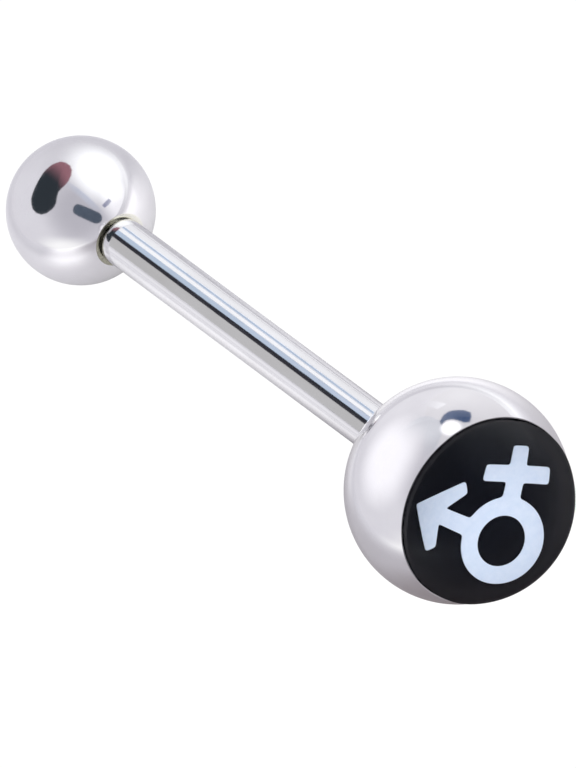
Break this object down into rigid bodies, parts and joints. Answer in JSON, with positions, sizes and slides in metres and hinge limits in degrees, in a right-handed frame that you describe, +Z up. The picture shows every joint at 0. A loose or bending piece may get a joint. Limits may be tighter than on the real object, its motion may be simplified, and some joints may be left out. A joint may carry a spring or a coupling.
{
  "type": "tongue barbell",
  "caption": "Straight 14 gauge steel barbell for a tongue piercing, with a large display ball with a domed picture inlay and a small screw-on ball.",
  "frame": {"origin": "on the surface that the barbell lies on, below the middle of its bounding box", "axes": "+X runs along the bar from the screw ball to the display ball, +Z is up; the bar itself rises 3.2 degrees towards the larger ball, because the barbell lies on its two balls"},
  "size_m": [0.0286, 0.0074, 0.0075],
  "materials": {
    "polished_bar": "polished surgical steel with fine lengthwise drawing marks",
    "polished_ball": "mirror-polished surgical steel with fine hairline scratches",
    "black_print": "gloss black print under resin",
    "white_print": "cool white print under resin",
    "clear_resin": "clear glossy resin dome"
  },
  "bodies": {
    "post": {"bar": "polished_bar", "display_ball": "polished_ball", "picture_disc": "black_print", "sign": "white_print", "dome": "clear_resin"},
    "end_ball": {"screw_ball": "polished_ball"}
  },
  "joints": [
    {"name": "ball_unscrew", "type": "slide", "parent": "post", "child": "end_ball", "axis": [-0.9984, 0, -0.0563], "range_m": [0, 0.003]}
  ]
}
